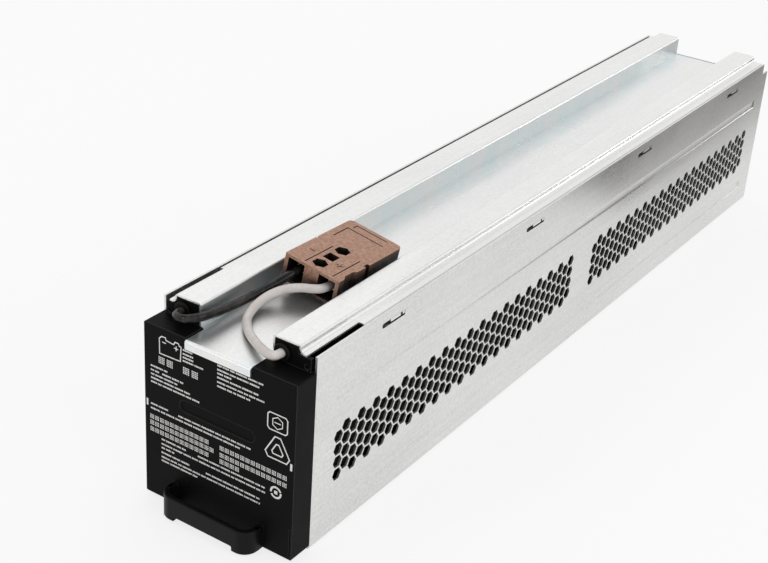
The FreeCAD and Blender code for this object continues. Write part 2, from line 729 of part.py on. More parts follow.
def make_battery(number):
    """Container, narrow neck and lid, with round upright corners."""
    body = new_body("battery_%d" % (number + 1))
    middle = battery_middle(number)
    y = (middle + " - battery_length / 2", middle + " + battery_length / 2")
    outline = rectangle(("-battery_half", "battery_half"), y)
    neck = rectangle(("-battery_half + neck_inset", "battery_half - neck_inset"),
                     (y[0] + " + neck_inset", y[1] + " - neck_inset"))
    lid_low = "battery_top - lid_height"
    container_height = "battery_top - lid_height - neck_height - sheet"
    sketch = profile(body, "Pad", "container", "XY", outline, "sheet", container_height)
    profile(body, "Pad", "neck", "XY", neck, lid_low + " - neck_height", "neck_height")
    profile(body, "Pad", "lid", "XY", outline, lid_low, "lid_height")
    round_corners(body, sketch, (0, 1, 2, 3), "battery_corner")
    return body


def terminal_side(number, positive):
    """Even blocks, counted from 0, have the positive tab on the right, odd ones on the left."""
    return (1 if positive else -1) * (1 if number % 2 == 0 else -1)


def tab(name, x, y, low):
    return block(name, (x + " - tab_thickness / 2", x + " + tab_thickness / 2"),
                 (y + " - tab_width / 2", y + " + tab_width / 2"), (low, "battery_top + tab_height"))


def make_terminals(number):
    battery = "battery_%d" % (number + 1)
    tabs = [tab("%s_%s_tab" % (battery, pole), "%d * terminal_x" % terminal_side(number, positive),
                battery_middle(number), "battery_top")
            for pole, positive in (("negative", False), ("positive", True))]
    return group(battery + "_terminals", tabs)


def boot(name, x, y):
    """A push-on boot with a slot for its tab."""
    solid = block(name + "_solid", (x + " - boot_width / 2", x + " + boot_width / 2"),
                  (y + " - boot_length / 2", y + " + boot_length / 2"), ("boot_low", "boot_top"))
    slot = block(name + "_slot",
                 (x + " - tab_thickness / 2 - boot_fit", x + " + tab_thickness / 2 + boot_fit"),
                 (y + " - tab_width / 2 - boot_fit", y + " + tab_width / 2 + boot_fit"),
                 ("boot_low - 1", "battery_top + tab_height + boot_fit"))
    return cut(name, solid, [slot])


def make_wiring():
    """Boots, series jumpers, the crossing strap and the two leads to the grommets."""
    boots = [boot("crossed_boot", "crossed_x", "last_battery")]
    for number in range(BATTERIES):
        for name, positive in (("negative", False), ("positive", True)):
            if number == BATTERIES - 1 and positive:
                continue
            boots.append(boot("boot_%d_%s" % (number + 1, name),
                              "(%d * terminal_x)" % terminal_side(number, positive), battery_middle(number)))
    nodes = [group("terminal_boots", boots)]
    for number in range(BATTERIES - 1):
        nodes.append(rod("jumper_%d" % (number + 1), "Y",
                         ("%d * terminal_x" % terminal_side(number, True),
                          battery_middle(number) + " + boot_length / 2", "lead_height"),
                         "jumper_diameter / 2", "battery_pitch - boot_length"))
    strip = block("strap_strip", ("-terminal_x - strap_end", "crossed_x + tab_thickness / 2"),
                  ("last_battery - strap_width / 2", "last_battery + strap_width / 2"),
                  ("battery_top", "strap_top"))
    slot = block("strap_slot", ("-terminal_x - tab_thickness / 2 - boot_fit",
                                "-terminal_x + tab_thickness / 2 + boot_fit"),
                 ("last_battery - tab_width / 2 - boot_fit", "last_battery + tab_width / 2 + boot_fit"),
                 ("battery_top - 1", "strap_top + 1"))
    upturn = tab("strap_upturn", "crossed_x", "last_battery", "battery_top")
    nodes.append(fused("cross_strap", [cut("slotted_strip", strip, [slot]), upturn]))
    nodes.append(rod("negative_inner_lead", "Y", ("-terminal_x", "grommet_front", "lead_height"),
                     "lead_radius", "battery_front + battery_length / 2 - boot_length / 2 - grommet_front"))
    high = value("lead_height")
    low = value("lead_rest_height")
    x = value("crossed_x")
    start = value("last_battery") - value("boot_length") / 2
    front = value("grommet_front")
    level = 10.0
    fall = 16.0
    route = [(x, start, high), (x, start - level, high), (x, start - level - fall, low),
             (x, front + level + fall, low), (x, front + level, high), (x, front, high)]
    nodes.append(cord("positive_inner_lead", route, value("lead_diameter")))
    return nodes


def make_foam():
    front = block("front_foam", ("-front_foam_width / 2", "front_foam_width / 2"),
                  ("bezel_front + bezel_plate + foam_fit", "battery_front - foam_fit"),
                  ("front_foam_low", "battery_top - foam_headroom"))
    rear = block("rear_foam", ("-rear_foam_width / 2", "rear_foam_width / 2"),
                 ("last_battery + battery_length / 2 + foam_fit", "tray_rear - sheet - foam_fit"),
                 ("rear_foam_low", "battery_top - foam_headroom"))
    return [front, rear]


def lay_in_valley(item):
    """The connector lies in the valley on one lower edge, turned a little."""
    return bind(item, {"Placement": "create(<<placement>>; create(<<vector>>; connector_x; connector_y; "
                                    "valley_floor + connector_lift); "
                                    "create(<<rotation>>; connector_yaw; connector_tilt; connector_roll))"})


def hexagon(middle):
    """A key hole with its points towards the ends of the housing."""
    half_width = "key_hole_width / 2"
    return [("0", middle + " - key_hole_length / 2"), (half_width, middle + " - key_hole_length / 4"),
            (half_width, middle + " + key_hole_length / 4"), ("0", middle + " + key_hole_length / 2"),
            ("-" + half_width, middle + " + key_hole_length / 4"),
            ("-" + half_width, middle + " - key_hole_length / 4")]


def make_connector_housing():
    body = new_body("connector_housing")
    plan = rectangle(("-connector_half", "connector_half"), ("-connector_end", "connector_end"))
    sketch = profile(body, "Pad", "shell", "XY", plan, "0", "connector_height")
    round_corners(body, sketch, (2, 3), "connector_corner")
    for name, side in (("left", "-1"), ("right", "1")):
        def rows(low, high):
            return rectangle(("%s * (cavity_x - cavity_width / 2)" % side,
                              "%s * (cavity_x + cavity_width / 2)" % side), (low, high))
        profile(body, "Pocket", name + "_wire_cavity", "XZ",
                rows("connector_floor", "connector_height - connector_floor"), "-connector_end - 1",
                "wire_cavity_depth + 1")
        profile(body, "Pocket", name + "_mating_cavity", "XZ",
                rows("mating_floor", "connector_height - mating_floor"), "connector_end - mating_depth",
                "mating_depth + 1")
        blade = rectangle(("%s * (cavity_x - blade_half - contact_fit)" % side,
                           "%s * (cavity_x + blade_half + contact_fit)" % side),
                          ("blade_low - contact_fit", "blade_low + blade_thickness + contact_fit"))
        profile(body, "Pocket", name + "_blade_slot", "XZ", blade, "-connector_end + wire_cavity_depth - 1",
                "connector_length - wire_cavity_depth - mating_depth + 2")
    square_middle = "(-connector_end + 16.1)"
    square_half = "square_hole_side / 2"
    square = rectangle(("-" + square_half, square_half),
                       (square_middle + " - " + square_half, square_middle + " + " + square_half))
    for name, points in (("rear_key_hole", hexagon("(-connector_end + 6.6)")),
                         ("square_key_hole", square),
                         ("front_key_hole", hexagon("(-connector_end + 26)"))):
        profile(body, "Pocket", name, "XY", points, "connector_height - key_hole_depth",
                "key_hole_depth + 1")
    grooves = {
        "left_groove": (("-6.5", "top_groove_width"), ("-27.1", "24.2")),
        "right_groove": (("11.5", "top_groove_width"), ("-27.1", "24.2")),
        "side_line": (("-13.3", "top_groove_width"), ("6.6", "12.7")),
        "cross_line": (("-13.3", "23.9"), ("19.3", "top_groove_width")),
        "strip_side": (("-11.4", "top_groove_width"), ("22.1", "3.8")),
        "strip_line": (("-11.4", "20.3"), ("25.2", "top_groove_width")),
    }
    for name, ((x, width), (y, length)) in grooves.items():
        points = rectangle((x, "%s + %s" % (x, width)), (y, "%s + %s" % (y, length)))
        profile(body, "Pocket", name, "XY", points, "connector_height - top_groove_depth",
                "top_groove_depth + 1")
    latch_notch = [("connector_half + 1", "-25.2"), ("connector_half", "-24.4"),
                   ("connector_half - 1.6", "-21.4"), ("connector_half - 1.6", "-14.7"),
                   ("connector_half", "-12.4"), ("connector_half + 1", "-11.8")]
    profile(body, "Pocket", "latch_notch", "XY", latch_notch, "-1", "connector_height + 2")
    for name, side, depth, y in (("left_nick", "-1", "0.9", ("-3.0", "-1.2")),
                                 ("right_nick", "1", "1.7", ("-5.3", "-1.8"))):
        nick = [("%s * (connector_half + 1)" % side, y[0]),
                ("%s * (connector_half - %s)" % (side, depth), y[0]),
                ("%s * (connector_half - %s)" % (side, depth), y[1]),
                ("%s * (connector_half + 1)" % side, y[1])]
        sketch = profile(body, "Pocket", name, "XY", nick, "-1", "connector_height + 2")
        round_corners(body, sketch, (1, 2), "nick_corner")
    return lay_in_valley(body)


def make_contacts():
    """Crimp barrel and blade of each pole, and the leaf springs under the blades."""
    nodes = []
    springs = []
    for name, side in (("negative", -1), ("positive", 1)):
        middle = "%d * cavity_x" % side
        barrel_front = "-connector_end + barrel_start + barrel_length"
        barrel = rod(name + "_barrel", "Y", (middle, "-connector_end + barrel_start", "contact_height"),
                     "barrel_radius", "barrel_length")
        blade = block(name + "_blade", (middle + " - blade_half", middle + " + blade_half"),
                      (barrel_front + " - 0.5", "connector_end - blade_setback"),
                      ("blade_low", "blade_low + blade_thickness"))
        nodes.append(lay_in_valley(group(name + "_contact", [fused(name + "_pole", [barrel, blade])])))
        leaf = new_body(name + "_leaf")
        low = "mating_floor"
        high = "blade_low - contact_fit"
        rear = "connector_end - mating_depth + contact_fit"
        points = [(rear, low), ("connector_end - blade_setback", low),
                  ("connector_end - blade_setback", low + " + spring_thickness"),
                  ("connector_end - mating_depth * 0.3", high),
                  ("connector_end - mating_depth * 0.3 - 2 * spring_thickness", high),
                  ("connector_end - mating_depth * 0.3 + spring_thickness", low + " + spring_thickness"),
                  (rear, low + " + spring_thickness")]
        profile(leaf, "Pad", name + "_leaf_pad", "YZ", points, middle + " - spring_width / 2",
                "spring_width")
        springs.append(leaf)
    nodes.append(lay_in_valley(group("contact_springs", springs)))
    return nodes


def make_parts():
    nodes = make_tray() + make_latch_strips() + make_top_cover() + make_front_bezel() + make_pull_handle()
    nodes.append(make_grommet("left_grommet", "-terminal_x"))
    nodes.append(make_grommet("right_grommet", "crossed_x"))
    for number in range(BATTERIES):
        nodes.append(make_battery(number))
        nodes.append(make_terminals(number))
    nodes += make_wiring() + make_foam()
    nodes.append(make_connector_housing())
    nodes += make_contacts()
    nodes.append(cord("negative_lead", NEGATIVE_ROUTE, value("lead_diameter")))
    nodes.append(cord("positive_lead", POSITIVE_ROUTE, value("lead_diameter")))
    return nodes


doc = FreeCAD.newDocument("battery_cartridge")
sizes = make_sheet("Sizes", SIZES)
doc.recompute()
places = make_sheet("Places", PLACES)
doc.recompute()
parts = make_parts()
doc.recompute()

for item in doc.Objects:
    if "Invalid" in item.State or "Error" in item.State:
        raise SystemExit("%s did not build: %s" % (item.Label, item.State))
for node in parts:
    node.Label = node.Name
    if node.Shape.isNull() or not node.Shape.isValid() or not node.Shape.Solids:
        raise SystemExit("%s has no valid solid" % node.Label)

os.makedirs("parts", exist_ok=True)
for node in parts:
    node.Shape.exportStep("parts/%s.step" % node.Label)
    box = node.Shape.BoundBox
    print("%-24s %2d solids %10.0f mm3  x %7.1f %7.1f  y %7.1f %7.1f  z %6.1f %6.1f" % (
        node.Label, len(node.Shape.Solids), node.Shape.Volume,
        box.XMin, box.XMax, box.YMin, box.YMax, box.ZMin, box.ZMax))
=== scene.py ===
"""Looks of the battery cartridge: steel tray and cover, black bezel with its print, leads and connector.

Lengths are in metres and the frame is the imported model's: +Z up, the front faces -Y.
"""
import json
import math
import random

import bmesh
import bpy
from mathutils import Euler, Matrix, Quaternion, Vector


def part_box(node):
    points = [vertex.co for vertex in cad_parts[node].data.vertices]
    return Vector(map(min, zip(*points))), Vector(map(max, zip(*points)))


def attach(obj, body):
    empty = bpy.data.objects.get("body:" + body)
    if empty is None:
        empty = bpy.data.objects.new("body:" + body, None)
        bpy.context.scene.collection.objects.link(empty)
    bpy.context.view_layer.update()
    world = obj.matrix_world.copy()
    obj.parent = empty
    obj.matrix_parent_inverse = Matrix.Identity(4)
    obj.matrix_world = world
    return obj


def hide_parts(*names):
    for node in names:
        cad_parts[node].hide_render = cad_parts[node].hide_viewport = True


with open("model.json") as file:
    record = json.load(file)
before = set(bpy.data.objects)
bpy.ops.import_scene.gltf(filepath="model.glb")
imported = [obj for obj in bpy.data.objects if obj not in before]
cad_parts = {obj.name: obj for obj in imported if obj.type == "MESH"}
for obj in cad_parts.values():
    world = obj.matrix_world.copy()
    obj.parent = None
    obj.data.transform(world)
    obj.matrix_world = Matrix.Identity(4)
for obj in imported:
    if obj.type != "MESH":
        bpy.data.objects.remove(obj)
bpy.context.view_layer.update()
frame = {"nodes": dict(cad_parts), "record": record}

MM = 0.001

# Camera: where it stands and looks, its roll in degrees, its lens and its sensor's width
CAMERA_PLACE = (0.3974, -0.7771, 0.4733)
CAMERA_TARGET = (-0.0622, -0.0600, 0.0247)
CAMERA_ROLL = 3.9
CAMERA_LENS = 69.9
CAMERA_SENSOR = 36.0

LEAD_DIAMETER = 4.7 * MM

# Routes of the two leads, in millimetres, from the grommet to the connector's crimp barrel
BLACK_ROUTE = [
    (-34.0, -288.0, 109.6), (-34.0, -291.4, 109.6), (-31.8, -293.8, 109.7), (-28.0, -294.2, 110.0),
    (-24.0, -292.8, 110.9), (-20.3, -289.2, 111.6), (-19.2, -283.4, 111.2), (-18.7, -277.0, 110.4),
    (-18.4, -268.4, 109.7), (-17.7, -256.4, 109.4), (-15.4, -245.2, 110.8), (-11.6, -236.6, 114.0),
    (-8.6, -230.0, 117.0), (-8.35, -223.3, 117.31),
]
GREY_ROUTE = [
    (28.75, -288.0, 109.6), (28.75, -291.2, 109.6), (26.0, -293.0, 109.4), (20.0, -290.9, 108.9),
    (13.2, -287.0, 108.1), (5.8, -282.2, 107.2), (-1.3, -276.5, 106.8), (-8.0, -269.0, 106.8),
    (-11.3, -259.4, 108.0), (-10.9, -249.4, 110.3), (-6.6, -241.0, 112.5), (0.2, -236.0, 113.8),
    (6.4, -233.8, 114.2), (10.9, -230.3, 114.4), (11.2, -223.5, 114.21),
]

# How the connector lies, in degrees and millimetres, its height and the raised marks on it
CONNECTOR_TURN = (-1.7, 9.0, -0.6)
CONNECTOR_PLACE = (0.3, -201.3, 107.22)
CONNECTOR_HEIGHT = 15.9
MINUS_ENDS = (-12.1, -8.9)
MINUS_ROW = -14.9
PLUS_CENTRE = (7.8, -15.3)
PLUS_ARM = 1.85
MARK_STROKE = 0.7
MARK_SINK = 0.05
MARK_RISE = 0.4

# Printing on the bezel, in millimetres: how far the ink's base lies in the face, how thick it is, and
# the seed of its uneven dashes
PRINT_SINK = 0.01
PRINT_RISE = 0.05
PRINT_SEED = 11

# Fine print: dashes in groups, and its rows by their left end, right end and middle height
DASH_LENGTHS = (0.4, 1.0)
DASH_HEIGHT = 0.95
DASH_UNEVENNESS = 0.08
DASH_GAP = 0.22
GROUP_GAP = 0.5
GROUP_DASHES = (3, 8)
FINE_ROWS = [
    (-22.6, -15.6, 97.1), (-22.6, -15.4, 94.9), (-22.6, -14.9, 92.9), (-22.6, -9.0, 90.9),
    (-43.8, -32.8, 80.2), (-43.8, -38.0, 77.7), (-36.2, -21.9, 77.7), (-43.8, -26.3, 75.4),
    (-43.8, -17.8, 73.1), (-43.8, -11.7, 70.8),
    (-0.6, 28.1, 96.9), (-0.6, 25.4, 94.5), (-0.6, 8.6, 92.4), (-0.6, 25.5, 90.1), (-0.6, 28.9, 87.5),
    (-0.6, 20.0, 85.1),
    (-44.1, -31.8, 57.5), (-25.7, 21.2, 57.2), (-44.2, 14.2, 54.8),
    (-37.1, -20.8, 38.4), (-12.7, 30.3, 38.4), (-37.1, 30.9, 35.6), (-37.1, -28.0, 33.2),
    (-37.2, -18.1, 30.3), (-7.4, 27.9, 30.3), (-37.2, 27.8, 27.6), (-37.2, -12.7, 25.3),
]

# Larger print: square tiles of dots, in rows or each by its left edge and middle height
TILE_SIZE = 2.8
TILE_PITCH = 3.3
TILE_DOTS = 3
LARGE_TILE_SIZE = 4.2
LARGE_TILE_DOTS = 4
DOT_SHARE = 0.68
ROW_OVERHANG = 0.3
TILE_ROWS = [
    (-44.8, -5.3, 49.7), (-44.8, -1.4, 46.0), (-44.8, -3.9, 42.1), (1.3, 46.0, 49.7), (1.3, 46.0, 45.5),
    (1.3, 14.3, 41.7),
]
TILE_PLACES = [(-38.7, 85.5), (-33.3, 85.5), (-22.6, 85.5), (-17.0, 85.5)]

# Plain symbols, in millimetres and degrees: their line widths, outlines and places
ICON_LINE = 0.65
THIN_LINE = 0.55
BATTERY_LINE = 0.6
BAND_LINE = 0.7
MITRE_LIMIT = 0.35
BATTERY_ICON = [
    (-37.8, 89.3), (-24.2, 89.7), (-23.7, 98.1), (-24.8, 98.1), (-25.5, 99.4), (-27.6, 99.4),
    (-28.5, 97.7), (-33.5, 98.2), (-34.0, 99.6), (-36.5, 99.4), (-37.9, 97.9),
]
ROUNDED_SQUARE = [
    (31.0, 75.4), (32.2, 74.2), (41.8, 74.2), (43.0, 75.4), (43.0, 82.6), (41.8, 83.8), (32.2, 83.8),
    (31.0, 82.6),
]
BATTERY_MINUS = (-36.0, -33.6, 96.4)
BATTERY_PLUS = (-26.9, 95.9)
BATTERY_PLUS_ARM = 1.35
HEXAGON_CENTRE = (37.0, 79.0)
HEXAGON_RADIUS = 3.4
HEXAGON_LINE = 0.5
HEXAGON_BAR = (35.1, 38.9, 79.0)
BAND_CENTRE = (37.4, 63.4)
BAND_RADIUS = 7.6
BAND_TIP = 1.7
BAND_SCALES = (1.0, 0.46)
RING_CENTRE = (37.2, 38.8)
RING_RADII = (2.5, 3.6)
RING_ARCS = ((20, 190), (210, 370))
RING_CORE = 2.0

# Just over half the width of the cover's valley, and the height at which the painted reflection on its
# walls (also standing for zinc bloom) ends
VALLEY_HALF = 22.7 * MM
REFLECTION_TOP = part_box("top_cover")[1].z - 1.0 * MM

# Rounding of edges: its width on each kind of piece, the distance at which vertices are merged, and
# the angles from which an edge is rounded and from which it stays sharp in the shading
SHEET_EDGE = 0.12 * MM
BEZEL_EDGE = 0.35 * MM
HANDLE_EDGE = 0.6 * MM
RING_EDGE = 0.4 * MM
SHELL_EDGE = 0.3 * MM
MERGE_DISTANCE = 0.002 * MM
ROUNDED_ANGLE = math.radians(32)
SHARP_ANGLE = math.radians(40)

# Finishes: the sheet steel's range of roughness, the colour of the painted shade in its folds, how near a
# surface has to be for shade to be painted into a recess in the plastic, and how sharp an edge gets a
# painted highlight, patchy like rubbed wear
STEEL_ROUGHNESS = (0.23, 0.39)
STEEL_FOLD_SHADE = (0.12, 0.115, 0.105)
RECESS_REACH = 20.0 * MM
PALE_EDGE_RADIUS = 0.7 * MM

# Light and stage: the sky's colours by the sine of the angle above the horizon, its strength on the
# object, half the floor's width, its colour and how far it glows, and the dark card
SKY = ((0.5, (1.0, 1.0, 1.0)), (1.0, (0.50, 0.515, 0.53)))
SKY_LIGHT = 0.82
FLOOR_HALF = 6.0
FLOOR_COLOUR = (0.95, 0.95, 0.95)
FLOOR_GLOW = 0.78
CARD_COLOUR = (0.08, 0.07, 0.06)
CARD_CORNERS = [(0.128, 0.2, 0.001), (0.9, 0.2, 0.001), (0.9, 1.4, 0.001), (0.118, 1.4, 0.001)]
LAMPS = [
    # name, place, target, width in metres, power in watts
    ("top_light", (-0.5, 0.3, 1.7), (0, 0, 0.05), 2.0, 5.5),
    ("right_light", (1.5, -0.3, 0.9), (0, 0, 0.05), 1.4, 4.5),
    ("front_light", (-0.6, -1.5, 0.9), (0, -0.25, 0.06), 0.25, 1.5),
    ("low_light", (1.3, 2.1, 0.35), (0, 0.1, 0.06), 0.3, 2.2),
]


def metres(points):
    return [Vector(point) * MM for point in points]


def make_camera():
    data = bpy.data.cameras.new("camera")
    data.lens = CAMERA_LENS
    data.sensor_width = CAMERA_SENSOR
    camera = bpy.data.objects.new("camera", data)
    bpy.context.collection.objects.link(camera)
    camera.location = CAMERA_PLACE
    aim = (Vector(CAMERA_TARGET) - Vector(CAMERA_PLACE)).to_track_quat("-Z", "Y")
    camera.rotation_mode = "QUATERNION"
    camera.rotation_quaternion = aim @ Quaternion((0, 0, 1), math.radians(CAMERA_ROLL))
    bpy.context.scene.camera = camera


def lead_curve(name, route, node):
    """A round lead on one smooth curve whose control points are the route's."""
    data = bpy.data.curves.new(name, "CURVE")
    data.dimensions = "3D"
    data.resolution_u = 16
    data.bevel_depth = 1.0
    data.bevel_resolution = 8
    data.use_fill_caps = True
    spline = data.splines.new("NURBS")
    points = metres(route)
    spline.points.add(len(points) - 1)
    for place, point in zip(spline.points, points):
        place.co = (*point, 1.0)
        place.radius = LEAD_DIAMETER / 2
    spline.order_u = 3
    spline.use_endpoint_u = True
    lead = bpy.data.objects.new(name, data)
    bpy.context.collection.objects.link(lead)
    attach(lead, "root")
    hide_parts(node)
    return lead


# Nodes and materials

def new_material(name):
    material = bpy.data.materials.new(name)
    material.use_nodes = True
    return material


def add_node(owner, kind, **inputs):
    """A node of a material or of the world; an underscore in a key stands for a space."""
    node = owner.node_tree.nodes.new(kind)
    for key, content in inputs.items():
        node.inputs[key.replace("_", " ")].default_value = content
    return node


def link(owner, source, target):
    owner.node_tree.links.new(source, target)


def surface(material):
    return material.node_tree.nodes["Principled BSDF"]


def place_coordinates(material, scale):
    """The piece's own coordinates, in metres, stretched along each axis."""
    coordinates = add_node(material, "ShaderNodeTexCoord")
    mapping = add_node(material, "ShaderNodeMapping", Scale=scale)
    link(material, coordinates.outputs["Object"], mapping.inputs["Vector"])
    return mapping.outputs["Vector"]


def noise(material, scale, detail=3.0, roughness=0.55, stretch=(1, 1, 1), distortion=0.0):
    node = add_node(material, "ShaderNodeTexNoise", Scale=scale, Detail=detail, Roughness=roughness,
                    Distortion=distortion)
    link(material, place_coordinates(material, stretch), node.inputs["Vector"])
    return node.outputs["Fac"]


def remap(material, source, low, high, from_low=0.0, from_high=1.0):
    """The source's range from_low to from_high, spread over low to high and held there."""
    node = add_node(material, "ShaderNodeMapRange", From_Min=from_low, From_Max=from_high,
                    To_Min=low, To_Max=high)
    link(material, source, node.inputs["Value"])
    return node.outputs["Result"]


def combine(owner, operation, first, second):
    """Two sockets or numbers, joined by a Math node's operation."""
    node = add_node(owner, "ShaderNodeMath")
    node.operation = operation
    for socket, content in zip(node.inputs, (first, second)):
        if isinstance(content, float):
            socket.default_value = content
        else:
            link(owner, content, socket)
    return node.outputs["Value"]


def mix_colours(material, factor, first, second):
    node = add_node(material, "ShaderNodeMix")
    node.data_type = "RGBA"
    link(material, factor, node.inputs["Factor"])
    for socket, content in ((node.inputs["A"], first), (node.inputs["B"], second)):
        if isinstance(content, tuple):
            socket.default_value = (*content, 1.0)
        else:
            link(material, content, socket)
    return node.outputs["Result"]


def bump(material, height, strength, distance):
    node = add_node(material, "ShaderNodeBump", Strength=strength, Distance=distance)
    link(material, height, node.inputs["Height"])
    link(material, node.outputs["Normal"], surface(material).inputs["Normal"])


def seen_directly(owner):
    """One for camera, glossy and transmission rays, nought for the light that falls on surfaces."""
    path = add_node(owner, "ShaderNodeLightPath")
    seen = combine(owner, "MAXIMUM", path.outputs["Is Camera Ray"], path.outputs["Is Glossy Ray"])
    return combine(owner, "MAXIMUM", seen, path.outputs["Is Transmission Ray"])


def shade(colour, factor, lift=0.0):
    """The colour made darker or lighter by the factor, with the lift added to each channel."""
    return tuple(min(1.0, channel * factor + lift) for channel in colour)


def crevices(material, reach):
    """One in the open, falling to nothing in folds and gaps narrower than the reach."""
    node = add_node(material, "ShaderNodeAmbientOcclusion", Distance=reach)
    node.samples = 8
    node.only_local = False
    return node.outputs["AO"]


def galvanised_steel(name, light, dark, reflection_colour=None):
    """Zinc-coated sheet: fine speckle, rolling lines, cloudy marks, a painted bluish reflection along the
    valley's folds that also stands for white rust, and painted shade in the folds.
    """
    material = new_material(name)
    shader = surface(material)
    shader.inputs["Metallic"].default_value = 0.9
    speckle = noise(material, 620.0, 2.0, 0.6)
    lines = noise(material, 800.0, 2.0, 0.5, stretch=(1, 0.015, 1))
    clouds = noise(material, 14.0, 4.0, 0.6, stretch=(1, 0.5, 1), distortion=0.4)
    tone = combine(material, "MULTIPLY", clouds, 0.4)
    for share, source in ((0.42, speckle), (0.18, lines)):
        tone = combine(material, "ADD", tone, combine(material, "MULTIPLY", source, share))
    tone = remap(material, tone, 0.0, 1.0, 0.32, 0.68)
    body = mix_colours(material, tone, dark, light)
    # Painted reflection: bluish white along the folds of the valley, which also stands for white rust on
    # the zinc.
    if reflection_colour:
        body = mix_colours(material, painted_fold_reflection(material), body, reflection_colour)
    # Painted shade: the colour darkens to the fold shade colour in folds and gaps narrower than 2.5 mm.
    painted_shade = remap(material, crevices(material, 2.5 * MM), 0.62, 0.0, 0.35, 0.75)
    link(material, mix_colours(material, painted_shade, body, STEEL_FOLD_SHADE), shader.inputs["Base Color"])
    link(material, remap(material, clouds, *STEEL_ROUGHNESS, 0.3, 0.7), shader.inputs["Roughness"])
    bump(material, lines, 0.1, 0.06 * MM)
    return material


def painted_fold_reflection(material):
    """Bluish white patches that follow the folds at the foot of the valley's walls: a painted reflection
    that also stands for white rust on the zinc.
    """
    coordinates = add_node(material, "ShaderNodeTexCoord")
    split = add_node(material, "ShaderNodeSeparateXYZ")
    link(material, coordinates.outputs["Object"], split.inputs["Vector"])
    patches = noise(material, 30.0, 3.0, 0.6, stretch=(1, 0.6, 1), distortion=0.6)
    wander = remap(material, patches, -9.0 * MM, 9.0 * MM, 0.25, 0.75)
    across = combine(material, "ABSOLUTE", split.outputs["X"], 0.0)
    inner = remap(material, combine(material, "ADD", across, wander), 0.0, 1.0, 11.0 * MM, 20.0 * MM)
    within = combine(material, "LESS_THAN", across, VALLEY_HALF)
    below = combine(material, "LESS_THAN", split.outputs["Z"], REFLECTION_TOP)
    valley = combine(material, "MULTIPLY", within, below)
    streaks = remap(material, noise(material, 42.0, 4.0, 0.65, stretch=(1, 1, 0.3)), 0.1, 1.0, 0.38, 0.62)
    return combine(material, "MULTIPLY", combine(material, "MULTIPLY", inner, valley), streaks)


def pale_edges(material, radius):
    """Nought on flat places, rising to one on edges sharper than the radius."""
    rounded = add_node(material, "ShaderNodeBevel", Radius=radius)
    rounded.samples = 4
    place = add_node(material, "ShaderNodeNewGeometry")
    compare = add_node(material, "ShaderNodeVectorMath")
    compare.operation = "DOT_PRODUCT"
    link(material, rounded.outputs["Normal"], compare.inputs[0])
    link(material, place.outputs["Normal"], compare.inputs[1])
    return remap(material, compare.outputs["Value"], 1.0, 0.0, 0.80, 0.99)


def moulded_plastic(name, colour, roughness, specular, grain=2600.0, grain_depth=0.04 * MM,
                    grain_strength=0.35, scuffs=0.06, mottle=None, edge_sheen_and_wear=None, recess_shade=None):
    """Moulded plastic with a fine grain, cloudy gloss and a few scuffs.

    Mottle is the scale of its specks. The colour given for edges is a painted highlight there, patchy like
    rubbed wear, and the colour given for recesses is painted shade.
    """
    material = new_material(name)
    shader = surface(material)
    shader.inputs["Specular IOR Level"].default_value = specular
    clouds = noise(material, 40.0, 4.0, 0.6)
    marks = noise(material, 160.0, 6.0, 0.75, stretch=(1, 1, 0.3), distortion=0.8)
    worn = remap(material, marks, 0.0, scuffs, 0.62, 0.78)
    if mottle:
        specks = remap(material, noise(material, mottle, 3.0, 0.65), 0.0, 1.0, 0.34, 0.66)
        body = mix_colours(material, specks, shade(colour, 0.72), shade(colour, 1.22))
    else:
        tone = remap(material, clouds, 0.0, 1.0, 0.3, 0.7)
        body = mix_colours(material, tone, shade(colour, 0.82), colour)
        body = mix_colours(material, worn, body, shade(colour, 1.6, 0.01))
    # Painted highlight: sharp edges made paler in patches, which also stand for rubbed wear.
    if edge_sheen_and_wear:
        sheen_and_wear = combine(material, "MULTIPLY", pale_edges(material, PALE_EDGE_RADIUS),
                         remap(material, marks, 0.45, 1.0))
        body = mix_colours(material, sheen_and_wear, body, edge_sheen_and_wear)
    # Painted shade: darker in recesses and where other surfaces are near.
    if recess_shade:
        recess_shade_mask = remap(material, crevices(material, RECESS_REACH), 1.0, 0.0, 0.45, 0.90)
        body = mix_colours(material, recess_shade_mask, body, recess_shade)
    link(material, body, shader.inputs["Base Color"])
    rough = combine(material, "ADD", remap(material, clouds, roughness - 0.05, roughness + 0.05, 0.3, 0.7),
                    combine(material, "MULTIPLY", worn, 0.8))
    link(material, rough, shader.inputs["Roughness"])
    bump(material, noise(material, grain, 2.0, 0.5), grain_strength, grain_depth)
    return material


def insulation(name, colour, dust_and_sheen, roughness, specular=0.5):
    """Soft cable jacket with pale dusty patches (on the black lead a painted sheen that stands for glints),
    fine unevenness and painted shade where it meets other pieces.
    """
    material = new_material(name)
    shader = surface(material)
    shader.inputs["Specular IOR Level"].default_value = specular
    clouds = noise(material, 160.0, 5.0, 0.7, stretch=(1, 0.4, 1))
    fine = noise(material, 1500.0, 3.0, 0.6)
    # Pale patches: dust, and on the black lead a painted sheen that stands for glints.
    body = mix_colours(material, remap(material, clouds, 0.0, 1.0, 0.42, 0.66), colour, dust_and_sheen)
    # Painted shade: darker where the lead lies near other pieces.
    painted_shade = remap(material, crevices(material, 8.0 * MM), 0.85, 0.0, 0.15, 0.72)
    link(material, mix_colours(material, painted_shade, body, shade(colour, 0.3)), shader.inputs["Base Color"])
    link(material, remap(material, fine, roughness - 0.08, roughness + 0.1), shader.inputs["Roughness"])
    bump(material, fine, 0.2, 0.05 * MM)
    return material


